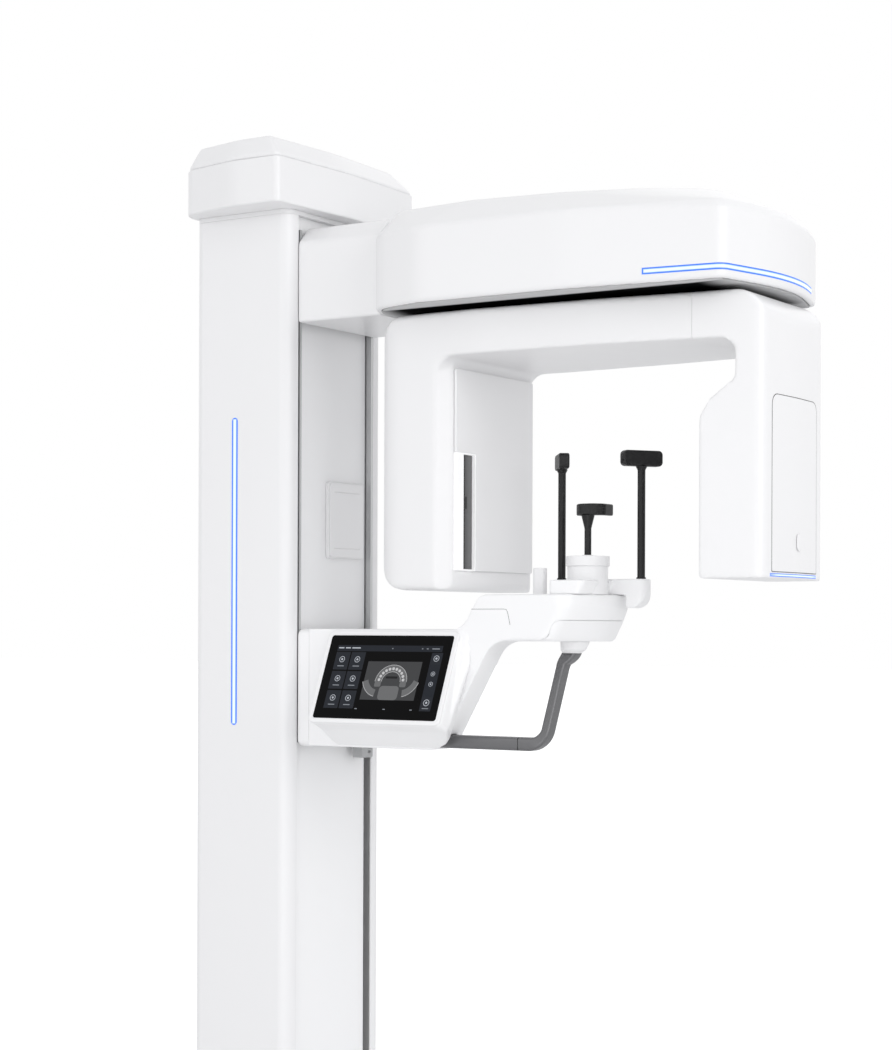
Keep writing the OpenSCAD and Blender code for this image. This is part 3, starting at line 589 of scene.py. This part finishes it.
# Stations of the handle's middle line: x, z and the turn of its direction from the bar's, upwards
def gripPath():
    g = grip
    path = [(g["startX"], g["barZ"], 0.0)]
    path += [(g["seamX"] + side * g["seamWidth"] / 2, g["barZ"], 0.0) for side in (-1, 1)]
    for step in range(g["bendSteps"] + 1):
        turn = pi / 2 * step / g["bendSteps"]
        path.append((g["upX"] - g["bend"] * (1 - sin(turn)), g["barZ"] + g["bend"] * (1 - cos(turn)), turn))
    path += [(g["upX"], g["neckZ"] - below, pi / 2) for below in g["straight"]]
    for step in range(1, g["neckSteps"] + 1):
        share = step / g["neckSteps"]
        ease = share * share * (3 - 2 * share)
        x = g["upX"] + (g["endX"] - g["upX"]) * ease
        z = g["neckZ"] + (g["endZ"] - g["neckZ"]) * share
        path.append((x, z, pi / 2 - radians(g["neckTurn"]) * sin(pi * share)))
    return path


def gripSection(bm, x, z, turn, inset=0.0):
    g = grip
    y = g["barY"] + g["lean"] * max(0.0, z - g["barZ"])
    thick = g["barThick"] + (g["upThick"] - g["barThick"]) * min(1.0, turn / (pi / 2) * 1.1)
    if z > g["neckZ"]:
        thick += g["neckFlare"] * ((z - g["neckZ"]) / (g["endZ"] - g["neckZ"])) ** 2
    ring = []
    for signA, signB in ((1, 1), (-1, 1), (-1, -1), (1, -1)):
        for step in range(g["cornerSteps"] + 1):
            angle = pi / 2 * step / g["cornerSteps"]
            first, second = (cos(angle), sin(angle)) if signA == signB else (sin(angle), cos(angle))
            across = signA * (thick / 2 - inset - g["corner"] * (1 - first))
            deep = signB * (g["deep"] / 2 - inset - g["corner"] * (1 - second))
            place = Vector((x - across * sin(turn), y + deep, z + across * cos(turn)))
            ring.append(bm.verts.new(place * mm))
    return ringEdges(bm, ring)


def handleMesh():
    bm = bmesh.new()
    path = gripPath()
    chamfer = grip["chamfer"]
    for stretch in (path[:2], path[2:]):
        x, z, turn = stretch[0]
        rings = [gripSection(bm, x, z, turn, chamfer), gripSection(bm, x + chamfer, z, turn)]
        rings += [gripSection(bm, *station) for station in stretch[1:-1]]
        x, z, turn = stretch[-1]
        rings.append(gripSection(bm, x - chamfer * cos(turn), z - chamfer * sin(turn), turn))
        rings.append(gripSection(bm, x, z, turn, chamfer))
        for a, b in zip(rings, rings[1:]):
            bmesh.ops.bridge_loops(bm, edges=a + b)
        bmesh.ops.holes_fill(bm, edges=rings[0] + rings[-1], sides=0)
    bmesh.ops.recalc_face_normals(bm, faces=bm.faces)
    return bm


finished(handleMesh(), "handle_grip", [finish["handlePaint"]], "carriage", "handle", sharp=40)
print("handle made")


# A dark copy just behind a flush cover, a little larger, so that its seam shows
def seamPlate(part, grow, move):
    low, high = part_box(part)
    middle = (low + high) / 2
    bm = bmesh.new()
    bm.from_mesh(frame["nodes"][part].data)
    size = [1 + grow[i] * mm / (high[i] - middle[i]) for i in range(3)]
    bmesh.ops.scale(bm, vec=size, space=Matrix.Translation(-middle), verts=bm.verts)
    bmesh.ops.translate(bm, vec=Vector(move) * mm, verts=bm.verts)
    finished(bm, part + "_seam", [finish["seam"]], bodyOf[part])


seamPlate("end_panel", (0, 1.1, 1.1), (-0.45, 0, 0))

# Shadow line where covers meet on the console arm's near face: its points in x and z
armSeam = {
    "proud": 0.12, "width": 0.9,
    "line": [(587, 1264), (630, 1264), (668, 1264), (673, 1262.5), (675.5, 1258), (678, 1249), (682, 1231)],
}


def armSeamMesh():
    bm = bmesh.new()
    out = Vector((0, -1, 0))
    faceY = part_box("arm_body")[0].y / mm
    points = [Vector((x, faceY, z)) for x, z in armSeam["line"]]
    edges = []
    for sign in (-1, 1):
        row = []
        for before, point, after in zip(points[:1] + points, points, points[1:] + points[-1:]):
            side = (after - before).normalized().cross(out) * sign * armSeam["width"] / 2
            row.append(bm.verts.new((point + out * armSeam["proud"] + side) * mm))
        edges += [bm.edges.new(pair) for pair in zip(row, row[1:])]
    faces = bmesh.ops.bridge_loops(bm, edges=edges)["faces"]
    bm.normal_update()
    bmesh.ops.reverse_faces(bm, faces=[f for f in faces if f.normal.dot(out) < 0])
    return bm


finished(armSeamMesh(), "arm_seam", [finish["seam"]], "carriage")

dress("column_light", glow("columnGlow", "column_light", 0, 2, bothEnds=True))
for part in ("housing_light", "generator_light"):
    dress(part, glow(part + "Glow", part, 2, 0))
print("seams and light strips made")

# Touch screen: fields and plain marks just in front of the glass
screen = {"tilt": 23.0, "glass": 3.5, "width": 314, "height": 192, "proud": 0.1, "thick": 0.12}
# Header: its marks as x and width. Tiles: each with a ring and a caption. Side bar: its tiles as y and
# height, its rings as y, radius and level. Foot: the x of its marks. A mark's y runs down from its field.
interface = {
    "headerY": 23, "headerHeight": 14, "roundHeader": 0.6,
    "marks": [(25, 14), (43, 13), (60, 22)], "markY": 5, "markHeight": 2.6,
    "paleMarks": [(164, 3), (240, 3.4), (252, 4.6), (266, 19)], "paleY": 6, "paleHeight": 2.2,
    "tileX": 22, "tileY": 39, "tileWidth": 37, "tileHeight": 41, "tilePitchX": 40, "tilePitchY": 44.5,
    "roundTile": 1.5, "ringY": 17, "ring": 7,
    "captionX": 10, "captionY": 31.5, "captionWidth": 17, "captionHeight": 2, "roundCaption": 0.5,
    "sideX": 268, "sideWidth": 28, "sideHeight": 132, "sideTiles": [(1, 26), (100, 31)],
    "sideRings": [(13, 7, 2), (48, 5.2, 1), (71, 5.2, 1), (113, 7.4, 2)], "sideCaption": (125, 16, 1.8),
    "footY": 168, "footMarks": (104, 176, 244), "footWidth": 6, "footHeight": 2,
}
# The drawing on the screen, from the picture's upper edge and from its middle
picture = {
    "x": 111, "y": 60, "width": 138, "height": 88, "line": 1.2, "squash": 0.95,
    "archY": 46, "archInner": 24, "archOuter": 40, "archLines": (23.8, 40),
    "spineY": 56, "spineWidth": 50, "spineHeight": 32, "spineRound": 8,
    "hingeX": 32, "hingeY": 45, "hingeWidth": 16, "hingeHeight": 13, "hingeRound": 3,
    "wingX": 28, "wingY": 30, "wingInner": 32, "wingOuter": 46, "wingSweep": 60, "wingSquash": 1.1,
    "teeth": 11, "firstTooth": 188, "toothPitch": 16.4, "toothAcross": 31, "toothDown": 29.5,
    "toothInner": 0.4, "toothOuter": 3.4,
    "tongueY": 34, "tongueWidth": 30, "tongueHeight": 5, "tongueRound": 2,
}
fieldColours = {
    "header": rgb(0.009, 0.012, 0.018), "tile": rgb(0.012, 0.015, 0.021), "mark": rgb(0.52, 0.55, 0.6),
    "pale": rgb(0.26, 0.28, 0.31), "ground": rgb(0.05, 0.051, 0.053), "bone": rgb(0.15, 0.152, 0.155),
    "edge": rgb(0.5, 0.5, 0.51), "tooth": rgb(0.6, 0.6, 0.61), "dark": rgb(0.008, 0.008, 0.008),
}
fieldIndex = {name: index for index, name in enumerate(fieldColours)}


# From the fields' own plane, x to the right, y down the glass and z out of it, to the glass
def screenMatrix():
    low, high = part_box("touch_screen")
    tilt = radians(screen["tilt"])
    down = Vector((0, -sin(tilt), -cos(tilt)))
    out = Vector((0, -cos(tilt), sin(tilt)))
    lowerEdge = Vector((low.x, low.y, low.z + screen["glass"] * mm * sin(tilt)))
    matrix = Matrix.Identity(4)
    matrix.col[1][:3] = down
    matrix.col[2][:3] = out
    matrix.col[3][:3] = lowerEdge - down * screen["height"] * mm
    return matrix


# Level 0 lies on the glass, and each further level on the one below
def settle(bm, verts, level, colour):
    lift = (screen["proud"] + level * screen["thick"]) * mm
    bmesh.ops.translate(bm, vec=(0, 0, lift), verts=verts)
    for face in {f for v in verts for f in v.link_faces}:
        face.material_index = fieldIndex[colour]


def addField(bm, x, y, width, height, level, colour, corner=0):
    made = bmesh.ops.create_grid(bm, x_segments=1, y_segments=1, size=0.5)["verts"]
    bmesh.ops.scale(bm, vec=(width * mm, height * mm, 1), verts=made)
    bmesh.ops.translate(bm, vec=((x + width / 2) * mm, (y + height / 2) * mm, 0), verts=made)
    if corner:
        made = bmesh.ops.bevel(bm, geom=made, offset=corner * mm, segments=4, profile=0.5,
                               affect="VERTICES", material=-1)["verts"]
    settle(bm, made, level, colour)


def addArc(bm, x, y, inner, outer, level, colour, start=0.0, sweep=360.0, squash=1.0, steps=28):
    turn = Matrix.Rotation(radians(start), 3, "Z")
    ends = [bm.verts.new(turn @ Vector((radius * mm, 0, 0))) for radius in (inner, outer)]
    line = bm.edges.new(ends)
    before = set(bm.verts) - set(ends)
    bmesh.ops.spin(bm, geom=ends + [line], cent=(0, 0, 0), axis=(0, 0, 1), angle=radians(sweep), steps=steps,
                   use_merge=sweep == 360)
    made = [v for v in bm.verts if v not in before]
    bmesh.ops.scale(bm, vec=(1, squash, 1), verts=made)
    bmesh.ops.translate(bm, vec=(x * mm, y * mm, 0), verts=made)
    settle(bm, made, level, colour)


# A ring mark with a dot in it
def addButton(bm, x, y, radius, level):
    addArc(bm, x, y, radius * 0.82, radius, level, "mark", steps=24)
    addArc(bm, x, y, 0.3, radius * 0.36, level, "mark", steps=12)


def headerFields(bm):
    u = interface
    addField(bm, u["tileX"], u["headerY"], screen["width"] - 2 * u["tileX"], u["headerHeight"], 0, "header")
    for x, width in u["marks"]:
        addField(bm, x, u["headerY"] + u["markY"], width, u["markHeight"], 1, "mark", u["roundHeader"])
    for x, width in u["paleMarks"]:
        addField(bm, x, u["headerY"] + u["paleY"], width, u["paleHeight"], 1, "pale", u["roundHeader"])


def tileFields(bm):
    u = interface
    for row in range(3):
        for column in range(2):
            x = u["tileX"] + column * u["tilePitchX"]
            y = u["tileY"] + row * u["tilePitchY"]
            addField(bm, x, y, u["tileWidth"], u["tileHeight"], 0, "tile", u["roundTile"])
            addButton(bm, x + u["tileWidth"] / 2, y + u["ringY"], u["ring"], 1)
            addField(bm, x + u["captionX"], y + u["captionY"], u["captionWidth"], u["captionHeight"], 1,
                     "pale", u["roundCaption"])


# A plain drawing of a jaw's arch with its row of teeth, on a grey ground
def pictureFields(bm):
    p = picture
    top = p["y"]
    middle = p["x"] + p["width"] / 2
    archY = top + p["archY"]
    half = p["line"] / 2
    addField(bm, p["x"], top, p["width"], p["height"], 0, "ground")
    addField(bm, middle - p["spineWidth"] / 2, top + p["spineY"], p["spineWidth"], p["spineHeight"], 1,
             "bone", p["spineRound"])
    addArc(bm, middle, archY, p["archInner"], p["archOuter"], 1, "bone", 180, 180, p["squash"])
    for radius in p["archLines"]:
        addArc(bm, middle, archY, radius - half, radius + half, 2, "edge", 180, 180, p["squash"])
    for side, start in ((-1, 100), (1, 20)):
        hingeX = middle + side * p["hingeX"] - p["hingeWidth"] / 2
        addField(bm, hingeX, top + p["hingeY"], p["hingeWidth"], p["hingeHeight"], 1, "bone", p["hingeRound"])
        wing = (middle + side * p["wingX"], top + p["wingY"])
        sweep = (start, p["wingSweep"], p["wingSquash"], 16)
        addArc(bm, *wing, p["wingInner"], p["wingOuter"], 1, "bone", *sweep)
        addArc(bm, *wing, p["wingOuter"] - half, p["wingOuter"] + half, 2, "edge", *sweep)
    for tooth in range(p["teeth"]):
        turn = radians(p["firstTooth"] + tooth * p["toothPitch"])
        addArc(bm, middle + p["toothAcross"] * cos(turn), archY + p["toothDown"] * sin(turn),
               p["toothInner"], p["toothOuter"], 3, "tooth", steps=10)
    addField(bm, middle - p["tongueWidth"] / 2, top + p["tongueY"], p["tongueWidth"], p["tongueHeight"], 1,
             "dark", p["tongueRound"])


def sideFields(bm):
    u = interface
    middle = u["sideX"] + u["sideWidth"] / 2
    addField(bm, u["sideX"], u["tileY"], u["sideWidth"], u["sideHeight"], 0, "header", u["roundTile"])
    for down, height in u["sideTiles"]:
        addField(bm, u["sideX"] + 1, u["tileY"] + down, u["sideWidth"] - 2, height, 1, "tile", u["roundTile"])
    for down, radius, level in u["sideRings"]:
        addButton(bm, middle, u["tileY"] + down, radius, level)
    down, width, height = u["sideCaption"]
    addField(bm, middle - width / 2, u["tileY"] + down, width, height, 2, "pale", u["roundCaption"])


def screenFields():
    bm = bmesh.new()
    headerFields(bm)
    tileFields(bm)
    pictureFields(bm)
    sideFields(bm)
    for x in interface["footMarks"]:
        addField(bm, x, interface["footY"], interface["footWidth"], interface["footHeight"], 0, "pale",
                 interface["roundHeader"])
    bmesh.ops.transform(bm, matrix=screenMatrix(), verts=bm.verts)
    return bm


fieldFinish = [litField(name + "Field", colour) for name, colour in fieldColours.items()]
finished(screenFields(), "screen_fields", fieldFinish, "carriage")
print("screen made")

# Studio: a pale floor, a white surround and soft lamps. Lamps: place, aim and size in metres, power in watts
studio = {
    "skyColour": rgb(0.98, 0.985, 1.0), "horizon": 0.88, "zenith": 0.76,
    "floorSize": 60, "floorColour": rgb(0.8, 0.8, 0.8), "floorSeen": rgb(0.98, 0.98, 0.98), "floorGlow": 0.45,
    "lamps": {
        "keyLamp": ((4.8, -1.6, 3.0), (0.5, 0, 1.5), (3.0, 3.0), 56),
        "fillLamp": ((-1.5, -4.5, 2.4), (0.3, 0, 1.4), (3.0, 3.0), 20),
        "frontLamp": ((1.7, -2.9, 0.8), (0.7, 0, 1.3), (1.6, 1.6), 11),
        "rimLamp": ((0.5, 3.5, 4.0), (0.5, 0, 1.6), (3.0, 2.0), 5),
    },
}


# Lights the object from all sides, a little less from above, and is white where it is seen
def makeWorld():
    world = bpy.data.worlds.new("surround")
    scene.world = world
    world.use_nodes = True
    nodes = Nodes(world.node_tree)
    up = nodes.split(nodes.node("ShaderNodeTexCoord", {}, {}, "Generated"))[2]
    strength = {"Value": up, "To Min": studio["horizon"], "To Max": studio["zenith"]}
    light = nodes.tree.nodes["Background"]
    nodes.feed(light.inputs["Color"], studio["skyColour"])
    nodes.feed(light.inputs["Strength"], nodes.node("ShaderNodeMapRange", {}, strength))
    seen = nodes.node("ShaderNodeBackground", {}, {"Color": rgb(1, 1, 1), "Strength": 1.0})
    inputs = {0: nodes.surroundRays(), 1: Wire(nodes, light.outputs[0]), 2: seen}
    mixed = nodes.node("ShaderNodeMixShader", {}, inputs)
    nodes.feed(nodes.tree.nodes["World Output"].inputs["Surface"], mixed)


# The floor is nearly white where it is seen, with a glow for the camera alone that keeps its far end white
def makeFloor():
    bm = bmesh.new()
    bmesh.ops.create_grid(bm, x_segments=1, y_segments=1, size=studio["floorSize"])
    mesh = bpy.data.meshes.new("floor")
    bm.to_mesh(mesh)
    bm.free()
    floor = bpy.data.objects.new("floor", mesh)
    scene.collection.objects.link(floor)
    paint = Shader("studioFloor", Roughness=0.9, Specular_IOR_Level=0.0,
                   Emission_Strength=studio["floorGlow"])
    paint.set("Base Color", paint.blend(paint.surroundRays(), studio["floorColour"], studio["floorSeen"]))
    camera = paint.node("ShaderNodeLightPath", {}, {}, "Is Camera Ray")
    paint.set("Emission Color", paint.blend(camera, rgb(0, 0, 0), rgb(1, 1, 1)))
    mesh.materials.append(paint.material)


def makeLamp(name, place, aim, size, power):
    data = bpy.data.lights.new(name, "AREA")
    data.shape = "RECTANGLE"
    data.size, data.size_y = size
    data.energy = power
    lamp = bpy.data.objects.new(name, data)
    lamp.location = place
    lamp.rotation_euler = (Vector(aim) - Vector(place)).to_track_quat("-Z", "Y").to_euler()
    scene.collection.objects.link(lamp)


makeWorld()
makeFloor()
for name, lamp in studio["lamps"].items():
    makeLamp(name, *lamp)
print("studio made")
